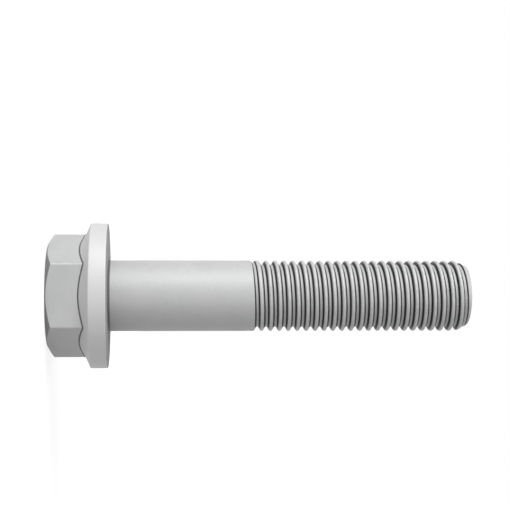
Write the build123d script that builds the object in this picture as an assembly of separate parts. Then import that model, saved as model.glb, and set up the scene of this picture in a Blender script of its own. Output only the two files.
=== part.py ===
from build123d import *
import math
import os

# Hexagon flange bolt, M16 x 80, forged and thread-rolled in one piece.
# Sizes are in millimetres. The origin is the centre of the flange's bearing face, +Z runs along
# the shank to the threaded tip, and the head lies on the -Z side, so the bolt stands on its head.

# Shank: plain under the head, then a short taper down to the thread, whose crests are all but level
# with it. A real M16 has both just under the nominal 16.
length = 80.0
shank_diameter = 15.75
plain_length = 29.5
thread_diameter = 15.7
taper_length = 0.8
underhead_chamfer = 0.6

# Thread: right-hand, 60 degrees, with the root and the flanks at the basic minor and pitch diameters
pitch = 2.0
thread_depth = 0.93
root_diameter = thread_diameter - 2 * thread_depth
root_flat = 0.5
flank_angle = 30.0
run_out_turns = 1

# Tip
tip_diameter = 13.2
tip_chamfer_length = 2.4

# Hexagon, at the lower limit of the 24 mm wrench size
across_flats = 23.7
head_height = 13.3
head_chamfer_angle = 30.0
head_chamfer_diameter = 22.6

# Flange
flange_diameter = 32.2
rim_thickness = 3.8
rim_edge_break = 0.35
flange_slope = 25.0
flange_cone_width = 2.75
flange_neck_slope = 40.0
flange_neck_width = 2.6

# How far the thread's cutting shape stands out of the shank
overrun = 0.03


def slope_run(width, angle):
    """The vector that goes that far out and rises at that many degrees."""
    return Vector(width, width * math.tan(math.radians(angle)))


def flange():
    """The disc that the head widens into: a rim, a cone and a steeper neck up to the hexagon."""
    rim_radius = flange_diameter / 2
    with BuildPart() as disc:
        with BuildSketch(Plane.XZ):
            with BuildLine():
                rim = Polyline(
                    (0, 0),
                    (rim_radius - rim_edge_break, 0),
                    (rim_radius, -rim_edge_break),
                    (rim_radius, -rim_thickness),
                )
                cone = Line(rim @ 1, rim @ 1 - slope_run(flange_cone_width, flange_slope))
                neck = Line(cone @ 1, cone @ 1 - slope_run(flange_neck_width, flange_neck_slope))
                Polyline(neck @ 1, (0, (neck @ 1).Y), (0, 0))
            make_face()
        revolve(axis=Axis.Z)
    return disc.part


def hexagon():
    """The wrench hexagon, with corners on the X axis and its free end turned to a 30 degree chamfer."""
    corner_reach = across_flats / math.sqrt(3)
    chamfer_radius = head_chamfer_diameter / 2
    chamfer_rise = (corner_reach - chamfer_radius) * math.tan(math.radians(head_chamfer_angle))
    with BuildPart() as prism:
        with BuildSketch(Plane.XY.offset(-head_height)):
            RegularPolygon(across_flats / 2, 6, major_radius=False)
        extrude(amount=head_height - rim_thickness)
        with BuildSketch(Plane.XZ):
            Polygon(
                (0, -head_height),
                (chamfer_radius, -head_height),
                (corner_reach, chamfer_rise - head_height),
                (corner_reach, 0),
                (0, 0),
                align=None,
            )
        revolve(axis=Axis.Z, mode=Mode.INTERSECT)
    return prism.part


def shank():
    """The blank that the thread is cut in, strengthened under the head and chamfered at the tip."""
    radius = shank_diameter / 2
    thread_radius = thread_diameter / 2
    with BuildPart() as blank:
        with BuildSketch(Plane.XZ):
            Polygon(
                (0, 0),
                (radius + underhead_chamfer, 0),
                (radius, underhead_chamfer),
                (radius, plain_length),
                (thread_radius, plain_length + taper_length),
                (thread_radius, length - tip_chamfer_length),
                (tip_diameter / 2, length),
                (0, length),
                align=None,
            )
        revolve(axis=Axis.Z)
    return blank.part


def thread_groove():
    """The helical space between the crests, turn by turn, from a first turn that rises out of the
    shank to one that runs off the tip. Its four faces in each turn are ruled between helices."""
    slope = math.tan(math.radians(flank_angle))
    root_radius = root_diameter / 2
    outer_radius = thread_diameter / 2 + overrun
    outer_flat = root_flat + 2 * (outer_radius - root_radius) * slope
    corners = [
        (root_radius, -root_flat / 2),
        (outer_radius, -outer_flat / 2),
        (outer_radius, outer_flat / 2),
        (root_radius, root_flat / 2),
    ]
    run_out = run_out_turns * pitch
    lift = outer_radius - root_radius
    rise_angle = math.degrees(math.atan(lift / run_out))
    full_start = plain_length + taper_length + outer_flat / 2 + run_out
    turns = math.ceil((length + outer_flat / 2 - full_start) / pitch)

    def first_turn(radius, height):
        foot = (0, 0, full_start - run_out + height)
        slant_pitch = pitch / math.cos(math.radians(rise_angle))
        return Edge.make_helix(slant_pitch, run_out, radius + lift, foot, (0, 0, 1), -rise_angle)

    def full_turn(radius, height, turn):
        foot = (0, 0, full_start + turn * pitch + height)
        return Edge.make_helix(pitch, pitch, radius, foot)

    rows = [[first_turn(*corner) for corner in corners]]
    rows += [[full_turn(*corner, turn) for corner in corners] for turn in range(turns)]
    faces = [Face.make_surface_from_curves(a, b) for row in rows for a, b in zip(row, row[1:] + row[:1])]
    for row, end in ((rows[0], 0), (rows[-1], 1)):
        faces.append(Face(Wire.make_polygon([edge @ end for edge in row], close=True)))
    return Solid(Shell(faces))


with BuildPart() as bolt:
    add(flange())
    add(hexagon())
    add(shank())
    add(thread_groove(), mode=Mode.SUBTRACT, clean=False)

os.makedirs("parts", exist_ok=True)
export_step(bolt.part, "parts/flange_bolt.step")
print(f"flange_bolt: {bolt.part.volume:.1f} mm3, {len(bolt.part.faces())} faces, valid {bolt.part.is_valid}")
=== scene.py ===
# %% [markdown]
# # A hexagon flange bolt, modelled from a line drawing
# The object is one piece of forged steel: a hexagon head that widens into a flange, a plain shank
# and a rolled thread. The lesson builds it in four steps: the camera and the light, the finish, the
# thread with Geometry Nodes, and the head as one lofted skin that is sewn to the thread.

# %% Load the frame
import math
import bmesh
import bpy
from mathutils import Matrix, Vector


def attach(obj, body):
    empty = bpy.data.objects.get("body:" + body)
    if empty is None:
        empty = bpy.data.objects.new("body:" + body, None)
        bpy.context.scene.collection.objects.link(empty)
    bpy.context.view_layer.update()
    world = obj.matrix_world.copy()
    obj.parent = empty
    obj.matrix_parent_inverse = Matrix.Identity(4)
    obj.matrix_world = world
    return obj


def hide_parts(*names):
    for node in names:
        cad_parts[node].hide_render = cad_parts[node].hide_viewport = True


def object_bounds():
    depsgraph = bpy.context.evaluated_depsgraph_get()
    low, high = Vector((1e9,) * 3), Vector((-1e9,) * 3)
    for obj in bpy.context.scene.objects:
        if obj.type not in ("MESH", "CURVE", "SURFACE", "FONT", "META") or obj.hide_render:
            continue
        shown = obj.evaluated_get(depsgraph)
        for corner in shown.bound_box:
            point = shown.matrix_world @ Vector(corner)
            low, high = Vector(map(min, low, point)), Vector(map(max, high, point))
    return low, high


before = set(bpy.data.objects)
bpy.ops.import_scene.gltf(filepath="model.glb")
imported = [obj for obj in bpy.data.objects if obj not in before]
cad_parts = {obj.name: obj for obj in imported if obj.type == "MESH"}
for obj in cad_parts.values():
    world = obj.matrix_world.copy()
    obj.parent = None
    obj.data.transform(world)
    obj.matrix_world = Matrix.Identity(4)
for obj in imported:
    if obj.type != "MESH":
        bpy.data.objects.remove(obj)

scene = bpy.context.scene
scene.view_settings.view_transform = "Standard"
cad_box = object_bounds()
print("CAD box", [[round(v, 5) for v in corner] for corner in cad_box])

# %% [markdown]
# ## Sizes
# Blender works in metres, and a bolt is thought of in millimetres, so one small helper turns the
# one into the other. The bolt stands on its head: +Z runs along the shank to the tip, and the
# flange's bearing face is the zero. The finish places its marks by the same sizes as the shapes do,
# so they stand here together.

# %% Shank, thread and tip
def mm(value):
    """Millimetres in metres."""
    return value / 1000


LENGTH = mm(80)
SHANK_RADIUS = mm(15.75) / 2
UNDERHEAD_ROUND = mm(0.6)

PITCH = mm(2)
CREST_RADIUS = mm(15.7) / 2
CREST_FLAT = mm(0.48)
CREST_ROUNDING = mm(0.3)
ROOT_RADIUS = mm(13.84) / 2
ROOT_ROUNDING = mm(0.2)
FLANK_ANGLE = math.radians(30)
THREAD_START = mm(31.104)
RUN_OUT_LIFT = mm(0.96)

TIP_RADIUS = mm(13.2) / 2
TIP_CHAMFER = mm(2.4)
TIP_ROUND = mm(0.2)
print("thread from", round(THREAD_START, 4), "to", LENGTH)

# %% Hexagon and flange
HEAD_HEIGHT = mm(13.3)
HEX_APOTHEM = mm(23.7) / 2
HEX_CORNER_ROUND = mm(0.4)
HEX_CORNER_REACH = (HEX_APOTHEM - HEX_CORNER_ROUND) / math.cos(math.radians(30)) + HEX_CORNER_ROUND
HEAD_CHAMFER_RADIUS = mm(11.3)
HEAD_CHAMFER_ANGLE = math.radians(30)
EDGE_ROUND = mm(0.25)

FLANGE_RADIUS = mm(16.1)
RIM_THICKNESS = mm(3.8)
RIM_ROUND = mm(0.3)
CONE_ANGLE = math.radians(25)
CONE_FOOT = mm(13.35)
NECK_ANGLE = math.radians(33)
NECK_BLEND = mm(0.15)
NECK_FILLET = mm(0.5)
print("hexagon corners at", round(HEX_CORNER_REACH, 5), "rim at", FLANGE_RADIUS)

# %% [markdown]
# ## The camera
# The drawing is a side view with a little perspective: its round edges bow away from a point near
# the flange. The camera looks along +Y from 28 cm and is rolled by a quarter turn, so that the
# shank runs to the right. A small shift and a small turn share the work of moving that point to
# the left of the picture. The focal length is thought of in pixels, because the drawing was
# measured in them.

# %% Camera
IMAGE_HEIGHT = 512
FOCAL_PIXELS = 1255.0
SENSOR = 36
CAMERA_PLACE = Vector((0, mm(-280), mm(10.42)))
TURN_RIGHT = math.radians(2.208)
TURN_UP = math.radians(1.813)

camera_data = bpy.data.cameras.new("camera")
camera_data.sensor_width = SENSOR
camera_data.lens = SENSOR * FOCAL_PIXELS / IMAGE_HEIGHT
camera_data.shift_x = 0.1
camera_data.dof.use_dof = False
camera_data.clip_start = 0.01
camera_data.clip_end = 20
camera = bpy.data.objects.new("camera", camera_data)
scene.collection.objects.link(camera)
scene.camera = camera

forward = Vector((-math.sin(TURN_UP), math.cos(TURN_UP) * math.cos(TURN_RIGHT), math.sin(TURN_RIGHT)))
right = forward.cross(Vector((-1, 0, 0))).normalized()
up = right.cross(forward).normalized()
turn = Matrix((right, up, -forward)).transposed().to_4x4()
camera.matrix_world = Matrix.Translation(CAMERA_PLACE) @ turn
print("camera", tuple(round(v, 4) for v in camera.location), "lens", round(camera_data.lens, 2))

# %% [markdown]
# ## Floor, background and light
# The floor and the world are white to the camera and to reflections only. To the object they are a
# plain grey, so the white never adds light to it. The floor keeps a part of its own shading for
# the camera as well, because that part carries the shadow. Three square lamps do the rest: a key on
# the side of the upper face of the hexagon, a weak one in front, and a weak one above the tip.

# %% A shader helper
class Shader:
    """Adds nodes to one node tree and wires them in the same call."""

    def __init__(self, tree):
        self.tree = tree
        tree.nodes.clear()

    def node(self, kind, inputs=None, **settings):
        made = self.tree.nodes.new(kind)
        for name, value in settings.items():
            setattr(made, name, value)
        for name, value in (inputs or {}).items():
            self.feed(made.inputs[name], value)
        return made

    def feed(self, socket, value):
        """Wires an output to a socket, or sets the socket's value."""
        if isinstance(value, bpy.types.NodeSocket):
            self.tree.links.new(value, socket)
        else:
            socket.default_value = value

    def math(self, operation, *values, clamp=False):
        made = self.node("ShaderNodeMath", dict(enumerate(values)), operation=operation, use_clamp=clamp)
        return made.outputs[0]

    def ramp(self, value, low, high, to_low=0.0, to_high=1.0):
        """A smooth step of a value from low to high."""
        inputs = {"Value": value, "From Min": low, "From Max": high, "To Min": to_low, "To Max": to_high}
        return self.node("ShaderNodeMapRange", inputs, interpolation_type="SMOOTHSTEP").outputs[0]

    def mark(self, name):
        """The value that the mesh carries under a name, from 0 to 1."""
        return self.node("ShaderNodeAttribute", attribute_name=name).outputs["Fac"]

    def mix(self, factor, a, b):
        """A mix of two colours."""
        made = self.node("ShaderNodeMix", data_type="RGBA")
        for index, value in ((0, factor), (6, a), (7, b)):
            self.feed(made.inputs[index], value)
        return made.outputs[2]


def seen_rays(shader):
    """One for camera, glossy and transmission rays, and nothing for the light on the object."""
    path = shader.node("ShaderNodeLightPath").outputs
    seen = shader.math("ADD", path["Is Camera Ray"], path["Is Glossy Ray"])
    return shader.math("ADD", seen, path["Is Transmission Ray"], clamp=True)


# %% World
AMBIENT = 0.25
WHITE = (1, 1, 1, 1)

world = bpy.data.worlds.new("studio")
scene.world = world
world.use_nodes = True
sky = Shader(world.node_tree)
plain = sky.node("ShaderNodeBackground", {"Color": WHITE, "Strength": AMBIENT})
white = sky.node("ShaderNodeBackground", {"Color": WHITE, "Strength": 1.0})
both = sky.node("ShaderNodeMixShader", {0: seen_rays(sky), 1: plain.outputs[0], 2: white.outputs[0]})
sky.node("ShaderNodeOutputWorld", {"Surface": both.outputs[0]})
print("world", len(world.node_tree.nodes), "nodes, ambient", AMBIENT)

# %% Floor
FLOOR_REACH = 1.5
FLOOR_PAINT = (0.8, 0.8, 0.8, 1)
GLOW_SHARE = 0.6
GLOW_NEAR = 1.38
GLOW_FAR = 1.66

level = cad_box[0].z
corners = [(x * FLOOR_REACH, y * FLOOR_REACH, level) for x, y in ((-1, -1), (1, -1), (1, 1), (-1, 1))]
floor_mesh = bpy.data.meshes.new("floor")
floor_mesh.from_pydata(corners, [], [(0, 1, 2, 3)])
floor = bpy.data.objects.new("floor", floor_mesh)
scene.collection.objects.link(floor)

# the lamps light the floor less towards its far edge, so its glow grows with the distance
floor_material = bpy.data.materials.new("pale floor")
floor_material.use_nodes = True
ground = Shader(floor_material.node_tree)
paint = ground.node("ShaderNodeBsdfDiffuse", {"Color": FLOOR_PAINT})
place = ground.node("ShaderNodeTexCoord").outputs["Object"]
distance = ground.node("ShaderNodeVectorMath", {0: place}, operation="LENGTH").outputs["Value"]
bright = ground.ramp(distance, mm(30), mm(300), GLOW_NEAR, GLOW_FAR)
glow = ground.node("ShaderNodeEmission", {"Color": WHITE, "Strength": bright})
share = ground.math("MULTIPLY", seen_rays(ground), GLOW_SHARE)
mixed = ground.node("ShaderNodeMixShader", {0: share, 1: paint.outputs[0], 2: glow.outputs[0]})
ground.node("ShaderNodeOutputMaterial", {"Surface": mixed.outputs[0]})
floor_mesh.materials.append(floor_material)
print("floor at", round(level, 4))

# %% Lamps
def lamp(name, direction, distance, size, power):
    """A square soft lamp that looks at the middle of the bolt from a direction."""
    data = bpy.data.lights.new(name, "AREA")
    data.shape = "SQUARE"
    data.size = size
    data.energy = power
    made = bpy.data.objects.new(name, data)
    scene.collection.objects.link(made)
    back = Vector(direction).normalized()
    made.location = Vector((0, 0, mm(33))) + back * distance
    made.rotation_mode = "QUATERNION"
    made.rotation_quaternion = back.to_track_quat("Z", "Y")
    print("lamp", name, "of", power, "W at", tuple(round(v, 3) for v in made.location))


lamp("key", (-0.84, -0.545, 0.1), distance=0.7, size=0.5, power=5.1)
lamp("front", (0.12, -0.99, 0.06), distance=0.9, size=0.6, power=1.3)
lamp("above", (-0.2, -0.2, 1), distance=0.8, size=0.5, power=1.7)

# %% [markdown]
# ## The finish
# A structural bolt of this kind is coated with zinc flakes in a thin mineral binder. It looks like
# pale grey paint with a soft metal sheen: not a mirror, and never quite even. The corners of the
# hexagon and the crests of the thread are rubbed bright. The rim and the cone of the flange are
# painted paler than the rest: that is painted light. The thread's flanks, the inner corners, the
# chamfer at the head's end and the bearing face are painted darker: that is painted shade. The
# bearing face is more matt as well. Several materials could do this, but their borders would be
# hard, so one material holds it all. Where a change follows an edge of the shape, the mesh carries
# a mark for it, from 0 to 1. Where it follows a size, the material works it out from the place.

# %% The base of the coating
CLOUD_TONES = ((0.495, 0.498, 0.502, 1), (0.53, 0.532, 0.533, 1))
FLAKE_TONE = (0.68, 0.68, 0.68, 1)


def coating_base(s, place):
    """Clouds and flakes: the colour all over, a roughness, a height for the bump, and the grain."""
    cloud = s.node("ShaderNodeTexNoise", {"Vector": place, "Scale": 220, "Detail": 4}).outputs["Fac"]
    flake = s.node("ShaderNodeTexNoise", {"Vector": place, "Scale": 3200, "Detail": 2}).outputs["Fac"]
    grain = s.node("ShaderNodeTexNoise", {"Vector": place, "Scale": 1100, "Detail": 3}).outputs["Fac"]
    body = s.mix(s.ramp(cloud, 0.3, 0.7), *CLOUD_TONES)
    body = s.mix(s.ramp(flake, 0.55, 0.75, to_high=0.35), body, FLAKE_TONE)
    rough = s.ramp(cloud, 0.25, 0.75, to_low=0.5, to_high=0.6)
    height = s.math("ADD", s.math("MULTIPLY", grain, 0.7), s.math("MULTIPLY", flake, 0.3))
    return body, rough, height, grain


# %% Painted light and shade, and the marks of wear
# painted light: the rim and the cone are paler; painted shade: the bearing face, the chamfer and the
# crevices are darker
PAINTED_LIGHT_AND_SHADE = (
    ("rim", 0.9, (0.67, 0.67, 0.668, 1)),
    ("cone", 0.8, (0.70, 0.70, 0.698, 1)),
    ("bearing", 0.9, (0.31, 0.31, 0.312, 1)),
    ("chamfer", 0.9, (0.22, 0.22, 0.222, 1)),
    ("crevice", 0.9, (0.05, 0.05, 0.051, 1)),
)
RUBBED_TONE = (0.72, 0.72, 0.71, 1)
# the colour of the painted shade on the thread's flanks
FLANK_PAINTED_SHADE = (0.02, 0.02, 0.021, 1)


def painted_flank_shade(s, height, radius):
    """Where the thread's flanks get painted shade: from close to the root to two thirds of their rise."""
    after_start = s.ramp(height, THREAD_START - mm(0.8), THREAD_START - mm(0.4))
    before_end = s.ramp(height, LENGTH - mm(0.3), LENGTH - mm(0.6))
    sunk = s.ramp(radius, CREST_RADIUS - mm(0.05), CREST_RADIUS - mm(0.15))
    rise = s.mark("rise")
    flank = s.math("MULTIPLY", s.ramp(rise, 0.86, 0.57), s.ramp(rise, 0.02, 0.14))
    for limit in (after_start, before_end, sunk):
        flank = s.math("MULTIPLY", flank, limit)
    return flank


def rubbed_edges(s, height, radius, grain):
    """Where the hexagon's corners and the thread's crests are rubbed, broken up by the grain."""
    corner = s.ramp(radius, HEX_CORNER_REACH - mm(0.12), HEX_CORNER_REACH)
    below_neck = s.ramp(height, -RIM_THICKNESS - mm(1.4), -RIM_THICKNESS - mm(1.8))
    corner = s.math("MULTIPLY", corner, below_neck)
    crest = s.ramp(radius, CREST_RADIUS - mm(0.05), CREST_RADIUS - mm(0.005))
    past_start = s.ramp(height, THREAD_START + mm(0.9), THREAD_START + mm(3.9))
    crest = s.math("MULTIPLY", crest, past_start)
    return s.math("MULTIPLY", s.math("ADD", corner, crest, clamp=True), s.ramp(grain, 0.35, 0.6))


# %% Coating material
def coating(name):
    """Zinc flake coating on steel, with painted light on the rim and the cone, and painted shade on the
    flanks, corners, chamfer and bearing face.
    """
    material = bpy.data.materials.new(name)
    material.use_nodes = True
    s = Shader(material.node_tree)
    place = s.node("ShaderNodeTexCoord").outputs["Object"]
    xyz = s.node("ShaderNodeSeparateXYZ", {0: place}).outputs
    flat = s.node("ShaderNodeCombineXYZ", {"X": xyz["X"], "Y": xyz["Y"]}).outputs[0]
    radius = s.node("ShaderNodeVectorMath", {0: flat}, operation="LENGTH").outputs["Value"]

    body, rough, height, grain = coating_base(s, place)
    # painted light makes the rim and the cone paler, and painted shade makes the bearing face, the
    # chamfer and the crevices darker
    for mark, strength, tone in PAINTED_LIGHT_AND_SHADE:
        body = s.mix(s.math("MULTIPLY", s.mark(mark), strength), body, tone)
    # painted shade on the thread's flanks
    body = s.mix(painted_flank_shade(s, xyz["Z"], radius), body, FLANK_PAINTED_SHADE)
    rubbed = s.math("MULTIPLY", rubbed_edges(s, xyz["Z"], radius, grain), 0.4)
    body = s.mix(rubbed, body, RUBBED_TONE)

    rough = s.math("MULTIPLY_ADD", s.mark("bearing"), 0.4, rough, clamp=True)
    bump = s.node("ShaderNodeBump", {"Strength": 0.25, "Distance": mm(0.03), "Height": height}).outputs[0]
    shader = s.node(
        "ShaderNodeBsdfPrincipled",
        {"Base Color": body, "Metallic": 0.15, "Roughness": rough, "Normal": bump},
    )
    s.node("ShaderNodeOutputMaterial", {"Surface": shader.outputs[0]})
    return material


zinc_flake = coating("zinc_flake_coating")
print("material", zinc_flake.name, len(zinc_flake.node_tree.nodes), "nodes")

# %% [markdown]
# ## The thread
# A thread is a rule: one groove profile that climbs by one pitch in each turn. It could be a screw
# modifier on a profile, but that gives no run-out and no chamfered end. So it is made with Geometry
# Nodes from a flat grid. One side of the grid counts turns and becomes the angle round the shank.
# The other side crosses one pitch, from the middle of a crest to the middle of the next.
# Neighbouring turns then meet on a crest and are merged. Points that would fall short of the start
# or past the tip are held there, which closes the skin in two clean circles.

# %% A geometry tree helper
class Tree(Shader):
    """The same helper for Geometry Nodes, with named inputs."""

    def __init__(self, name, inputs):
        super().__init__(bpy.data.node_groups.new(name, "GeometryNodeTree"))
        self.values = {}
        for label, value in inputs.items():
            kind = "NodeSocketFloat" if isinstance(value, float) else "NodeSocketMaterial"
            socket = self.tree.interface.new_socket(name=label, in_out="INPUT", socket_type=kind)
            socket.default_value = value
            self.values[socket.identifier] = value
        self.tree.interface.new_socket(name="Geometry", in_out="OUTPUT", socket_type="NodeSocketGeometry")

    def plain_mesh(self, name):
        """What the tree makes, as a plain mesh. The inputs are set by their identifiers."""
        holder = bpy.data.objects.new(name, bpy.data.meshes.new(name))
        scene.collection.objects.link(holder)
        modifier = holder.modifiers.new("tree", "NODES")
        modifier.node_group = self.tree
        for identifier, value in self.values.items():
            modifier[identifier] = value
        bpy.context.view_layer.update()
        graph = bpy.context.evaluated_depsgraph_get()
        mesh = bpy.data.meshes.new_from_object(holder.evaluated_get(graph), depsgraph=graph)
        bpy.data.objects.remove(holder)
        return mesh


# %% The tree and its named inputs
t = Tree(
    "rolled thread",
    {
        "Pitch": PITCH,
        "Crest Radius": CREST_RADIUS,
        "Root Radius": ROOT_RADIUS,
        "Crest Flat": CREST_FLAT,
        "Crest Rounding": CREST_ROUNDING,
        "Root Rounding": ROOT_ROUNDING,
        "Start": THREAD_START,
        "Lift": RUN_OUT_LIFT,
        "Length": LENGTH,
        "Tip Round": TIP_ROUND,
        "Tip Radius": TIP_RADIUS,
        "Tip Chamfer": TIP_CHAMFER,
        "Material": zinc_flake,
    },
)
given = t.node("NodeGroupInput").outputs
print("inputs", [socket.name for socket in given if socket.name])

# %% The flat grid and its place on the helix
COLUMNS = 96
FIRST_TURN = -1
LAST_TURN = 25
STEPS_ACROSS = 18

turns = LAST_TURN - FIRST_TURN
grid = t.node(
    "GeometryNodeMeshGrid",
    {
        "Size X": 1.0,
        "Size Y": float(turns),
        "Vertices X": STEPS_ACROSS + 1,
        "Vertices Y": turns * COLUMNS + 1,
    },
)
spot = t.node("ShaderNodeSeparateXYZ", {0: t.node("GeometryNodeInputPosition").outputs[0]}).outputs
across = spot["X"]
turn = t.math("ADD", spot["Y"], (FIRST_TURN + LAST_TURN) / 2)

height = t.math("MULTIPLY_ADD", t.math("ADD", turn, across), given["Pitch"], given["Start"])
first = t.math("SUBTRACT", given["Start"], t.math("MULTIPLY", given["Pitch"], 0.5))
last = t.math("SUBTRACT", given["Length"], given["Tip Round"])
height = t.math("MINIMUM", t.math("MAXIMUM", height, first), last)
print("grid of", turns, "turns with", COLUMNS, "columns each")

# %% [markdown]
# The profile is worked out from the middle of the crest: flat, then a 30 degree flank, then the
# root, with every change rounded by a smooth minimum or maximum. In the first turn the whole groove
# is lifted, so that it runs out of the shank. A cone cuts the last turns down to the tip. How far
# each point rises from the root is stored on the mesh before the grid is bent, for the finish.

# %% The groove's profile
from_crest = t.math("MULTIPLY", t.math("SUBTRACT", 0.5, t.math("ABSOLUTE", across)), given["Pitch"])
past_flat = t.math("SUBTRACT", from_crest, t.math("MULTIPLY", given["Crest Flat"], 0.5))
flank = t.math("SUBTRACT", given["Crest Radius"], t.math("DIVIDE", past_flat, math.tan(FLANK_ANGLE)))
groove = t.math("SMOOTH_MAX", flank, given["Root Radius"], given["Root Rounding"])
depth = t.math("SUBTRACT", given["Crest Radius"], given["Root Radius"])
rise = t.math("DIVIDE", t.math("SUBTRACT", groove, given["Root Radius"]), depth, clamp=True)

lift = t.math("MULTIPLY", given["Lift"], t.math("MAXIMUM", t.math("SUBTRACT", 1.0, turn), 0.0))
groove = t.math("SMOOTH_MIN", t.math("ADD", groove, lift), given["Crest Radius"], given["Crest Rounding"])
groove = t.math("MINIMUM", groove, given["Crest Radius"])

narrowing = t.math("SUBTRACT", given["Crest Radius"], given["Tip Radius"])
chamfer_slope = t.math("DIVIDE", narrowing, given["Tip Chamfer"])
left = t.math("SUBTRACT", given["Length"], height)
cone = t.math("MULTIPLY_ADD", left, chamfer_slope, given["Tip Radius"])
reach = t.math("SMOOTH_MIN", groove, cone, given["Root Rounding"])
print("profile", len(t.tree.nodes), "nodes")

# %% Bend the grid into the thread
angle = t.math("MULTIPLY", turn, 2 * math.pi)
place = t.node(
    "ShaderNodeCombineXYZ",
    {
        "X": t.math("MULTIPLY", reach, t.math("COSINE", angle)),
        "Y": t.math("MULTIPLY", reach, t.math("SINE", angle)),
        "Z": height,
    },
)
noted = t.node(
    "GeometryNodeStoreNamedAttribute",
    {"Geometry": grid.outputs["Mesh"], "Name": "rise", "Value": rise},
    data_type="FLOAT",
)
bent = t.node("GeometryNodeSetPosition", {"Geometry": noted.outputs[0], "Position": place.outputs[0]})
merged = t.node("GeometryNodeMergeByDistance", {"Geometry": bent.outputs[0], "Distance": mm(0.001)})
real = t.node("GeometryNodeRealizeInstances", {"Geometry": merged.outputs[0]})
coated = t.node("GeometryNodeSetMaterial", {"Geometry": real.outputs[0], "Material": given["Material"]})
t.node("NodeGroupOutput", {"Geometry": coated.outputs[0]})

thread_mesh = t.plain_mesh("thread")
print("thread", len(thread_mesh.vertices), "points", len(thread_mesh.polygons), "faces")

# %% [markdown]
# ## The head
# The head is forged: the hexagon and the flange are one piece, with no seam. Boxes and cylinders
# joined by booleans would leave hard edges and a ragged mesh, so it is lofted. For each direction
# round the axis one section runs from the middle of the head's end, over the chamfer, down the
# hexagon's face, along the flange and its rim, and over the bearing face to the shank. Only the
# hexagon's reach changes with the direction. Every corner of the section is rounded, and the rows
# follow the edges, so light runs cleanly along them.

# %% The hexagon's and the flange's form
def hexagon_reach(angle):
    """How far the hexagon reaches in a direction. Its corners are on the X axis."""
    sixth = math.radians(60)
    off_corner = abs((angle + sixth / 2) % sixth - sixth / 2)
    centre = (HEX_APOTHEM - HEX_CORNER_ROUND) / math.cos(sixth / 2)
    tangent = math.atan2(HEX_CORNER_ROUND / 2, centre + HEX_CORNER_ROUND * math.cos(sixth / 2))
    if off_corner < tangent:
        side = centre * math.sin(off_corner)
        return centre * math.cos(off_corner) + math.sqrt(HEX_CORNER_ROUND ** 2 - side ** 2)
    return HEX_APOTHEM / math.cos(sixth / 2 - off_corner)


def flange_top(radius):
    """The height of the flange's upper side: a cone that blends into a steeper neck."""
    cone = -RIM_THICKNESS + (radius - FLANGE_RADIUS) * math.tan(CONE_ANGLE)
    foot = -RIM_THICKNESS + (CONE_FOOT - FLANGE_RADIUS) * math.tan(CONE_ANGLE)
    neck = foot + (radius - CONE_FOOT) * math.tan(NECK_ANGLE)
    overlap = max(NECK_BLEND - abs(cone - neck), 0)
    return min(cone, neck) - overlap ** 2 / (4 * NECK_BLEND)


print("flange's height at the hexagon's faces", round(flange_top(HEX_APOTHEM), 5))

# %% [markdown]
# A rounded corner is an arc between two straight sides. The arc alone isn't enough: with smooth
# shading, a long flat face next to it would look bent. One more row close to each end of the arc
# keeps the flat faces flat.

# %% Rounded corners
EASE = 0.15


def rounded(before, corner, after, radius, steps=5):
    """The points of an arc that rounds a corner, with one more point close to each end."""
    a = (before - corner).normalized()
    b = (after - corner).normalized()
    half_angle = a.angle(b) / 2
    reach = radius / math.tan(half_angle)
    centre = corner + (a + b).normalized() * (radius / math.sin(half_angle))
    start = corner + a * reach - centre
    end = corner + b * reach - centre
    sweep = math.pi - 2 * half_angle
    points = [corner + a * (reach + radius * EASE)]
    for i in range(steps + 1):
        weight_a = math.sin((1 - i / steps) * sweep)
        weight_b = math.sin(i / steps * sweep)
        points.append(centre + (start * weight_a + end * weight_b) / math.sin(sweep))
    points.append(corner + b * (reach + radius * EASE))
    return points


def between(a, b, steps):
    """The points between two ends, without the ends."""
    return [a.lerp(b, i / steps) for i in range(1, steps)]


# %% The hexagon's part of a section
AXIS_GAP = 0.01


def hexagon_section(reach):
    """The head's end, its chamfer and the hexagon's face as marked points, and the face's two ends."""
    centre = Vector((0, -HEAD_HEIGHT))
    edge = Vector((HEAD_CHAMFER_RADIUS, -HEAD_HEIGHT))
    drop = (reach - HEAD_CHAMFER_RADIUS) * math.tan(HEAD_CHAMFER_ANGLE)
    shoulder = Vector((reach, drop - HEAD_HEIGHT))
    root = Vector((reach, flange_top(reach)))
    edge_round = rounded(centre, edge, shoulder, EDGE_ROUND, 3)
    shoulder_round = rounded(edge, shoulder, root, EDGE_ROUND)
    parts = [
        ("", [centre.lerp(edge, AXIS_GAP)] + between(centre, edge, 5) + edge_round[:3]),
        # the chamfer's mark carries painted shade in the finish
        ("chamfer", edge_round[3:] + shoulder_round[:3]),
        ("", shoulder_round[3:] + between(shoulder, root, 5)[1:-1]),
    ]
    return parts, shoulder, root


print("chamfer's height at a corner", round(hexagon_section(HEX_CORNER_REACH)[1].y + HEAD_HEIGHT, 5))

# %% One whole section
CONE_STEPS = 8
RIM_ROUND_SPACE = mm(0.35)


def on_flange(radius):
    """The point of the flange's upper side at a radius."""
    return Vector((radius, flange_top(radius)))


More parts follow.
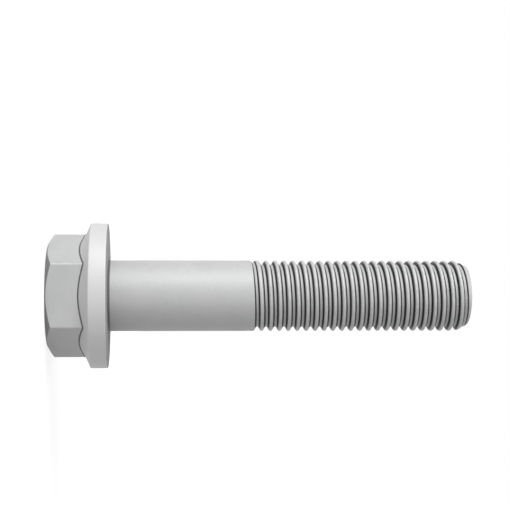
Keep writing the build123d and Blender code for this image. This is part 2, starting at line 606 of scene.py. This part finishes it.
def section(angle):
    """The head's section in one direction, as pairs of a mark and a point."""
    reach = hexagon_reach(angle)
    parts, shoulder, root = hexagon_section(reach)
    fillet = rounded(shoulder, root, on_flange(reach + mm(0.01)), NECK_FILLET)
    inner_end = fillet[-1].x
    outer_end = FLANGE_RADIUS - RIM_ROUND_SPACE
    radii = [inner_end + (outer_end - inner_end) * i / CONE_STEPS for i in range(1, CONE_STEPS)]

    rim_top = on_flange(FLANGE_RADIUS)
    rim_foot = Vector((FLANGE_RADIUS, 0))
    top_round = rounded(on_flange(FLANGE_RADIUS - mm(1)), rim_top, rim_foot, RIM_ROUND)
    foot_round = rounded(rim_top, rim_foot, Vector((SHANK_RADIUS, 0)), RIM_ROUND)
    # in the finish, the cone and rim marks carry painted light, and the crevice and bearing marks carry
    # painted shade
    parts += [
        ("", fillet[:2]),
        ("crevice", fillet[2:-2]),
        ("cone", fillet[-2:] + [on_flange(radius) for radius in radii] + top_round[:4]),
        ("rim", top_round[4:] + between(rim_top, rim_foot, 4) + foot_round[:4]),
        ("bearing", foot_round[4:]),
    ]
    return [(mark, point) for mark, points in parts for point in points]


print("section of", len(section(0)), "points")

# %% [markdown]
# ## The skin
# All rows have as many points as the thread has columns, so the head, the shank and the thread can
# be sewn point to point. The head's columns crowd at the hexagon's corners, and the thread's are
# even. The flat bearing face takes up the difference.

# %% Directions, rows and faces
def head_angles():
    """The directions of the head's columns, from one corner on: close together at each corner."""
    near = [0, 0.42, 0.834, 1.3]
    free = COLUMNS // 6 - 2 * len(near) + 1
    span = 60 - 2 * near[-1]
    spread = [near[-1] + span * (i + 1) / (free + 1) for i in range(free)]
    sector = near + spread + [60 - offset for offset in reversed(near[1:])]
    return [math.radians(60 * corner + offset) for corner in range(6) for offset in sector]


def ring(mesh, angles, points):
    """One closed row of points, given as radius and height for each direction."""
    return [mesh.verts.new((p.x * math.cos(a), p.x * math.sin(a), p.y)) for a, p in zip(angles, points)]


def skin(mesh, rows):
    """Joins neighbouring rows with four-sided faces."""
    for row, following in zip(rows, rows[1:]):
        for i in range(COLUMNS):
            j = (i + 1) % COLUMNS
            mesh.faces.new((row[i], row[j], following[j], following[i]))


def cap(mesh, row, height):
    """Closes a row with a fan."""
    middle = mesh.verts.new((0, 0, height))
    for i in range(COLUMNS):
        mesh.faces.new((row[i], row[(i + 1) % COLUMNS], middle))


even_angles = [2 * math.pi * i / COLUMNS for i in range(COLUMNS)]
print(len(head_angles()), "columns on the head,", len(even_angles), "on the thread")

# %% The head's rows
bm = bmesh.new()
bm.from_mesh(thread_mesh)
marks = {name: bm.verts.layers.float.new(name) for name, _, _ in PAINTED_LIGHT_AND_SHADE}


def marked(row, mark):
    """The row, with its points' mark set."""
    if mark:
        for vert in row:
            vert[marks[mark]] = 1
    return row


angles = head_angles()
sections = [section(a) for a in angles]
rows = [marked(ring(bm, angles, [point for _, point in row]), row[0][0]) for row in zip(*sections)]
print("head", len(rows), "rows")

# %% The bearing face and the plain shank
BEARING_MIDDLE = mm(12)
SHANK_STEPS = 14

shank_foot = Vector((SHANK_RADIUS, 0))
shank_side = Vector((SHANK_RADIUS, THREAD_START))
shank_end = Vector((CREST_RADIUS, THREAD_START - PITCH / 2))
fillet = rounded(Vector((FLANGE_RADIUS, 0)), shank_foot, shank_side, UNDERHEAD_ROUND, 6)
side = fillet[-2:] + between(fillet[-1], shank_end, SHANK_STEPS) + [shank_end]
# in the finish, the bearing and crevice marks carry painted shade
onward = [("bearing", point) for point in (Vector((BEARING_MIDDLE, 0)), fillet[0])]
onward += [("crevice", point) for point in fillet[1:-2]]
onward += [("", point) for point in side]
rows += [marked(ring(bm, even_angles, [point] * COLUMNS), mark) for mark, point in onward]
skin(bm, rows)
cap(bm, rows[0], -HEAD_HEIGHT)
print("head and shank", len(rows), "rows")

# %% The tip
TIP_EDGE_ROUND = mm(0.12)
TIP_END_SHARES = (0.7, 0.4, 0.02)

slope = (CREST_RADIUS - TIP_RADIUS) / TIP_CHAMFER
tip_start = Vector((TIP_RADIUS + TIP_ROUND * slope, LENGTH - TIP_ROUND))
tip_arc = rounded(tip_start, Vector((TIP_RADIUS, LENGTH)), Vector((0, LENGTH)), TIP_EDGE_ROUND, 4)
tip_rows = [tip_start] + tip_arc + [Vector((TIP_RADIUS * share, LENGTH)) for share in TIP_END_SHARES]
tip = [ring(bm, even_angles, [point] * COLUMNS) for point in tip_rows]
skin(bm, tip)
cap(bm, tip[-1], LENGTH)
print("tip", len(tip), "rows")

# %% [markdown]
# ## Sewing it together
# The rows at the two ends of the thread lie on the thread's own points, so merging doubles closes
# the skin. Then the normals are made to point outwards. A closed skin has no open edges, and its
# volume is a good test: it should be close to that of the CAD solid.

# %% One closed mesh
WELD_DISTANCE = mm(0.004)
SHORTEST_EDGE = mm(0.0005)

bmesh.ops.remove_doubles(bm, verts=bm.verts, dist=WELD_DISTANCE)
bmesh.ops.dissolve_degenerate(bm, edges=bm.edges, dist=SHORTEST_EDGE)
bmesh.ops.recalc_face_normals(bm, faces=bm.faces)
open_edges = [e for e in bm.edges if not e.is_manifold]
print("bolt", len(bm.verts), "points", len(bm.faces), "faces", len(open_edges), "open edges")
print("volume mm3", round(bm.calc_volume(signed=True) * 1e9, 1))

# %% The bolt
bolt_mesh = bpy.data.meshes.new("bolt")
bm.to_mesh(bolt_mesh)
bm.free()
bolt_mesh.materials.clear()
bolt_mesh.materials.append(zinc_flake)
for polygon in bolt_mesh.polygons:
    polygon.use_smooth = True
    polygon.material_index = 0
bolt = bpy.data.objects.new("flange_bolt_skin", bolt_mesh)
scene.collection.objects.link(bolt)
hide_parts("flange_bolt")
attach(bolt, "root")

# %% [markdown]
# ## The end
# The skin may be finer than the CAD solid, but not larger. The scene is brought up to date once more.

# %% The end
bpy.context.view_layer.update()
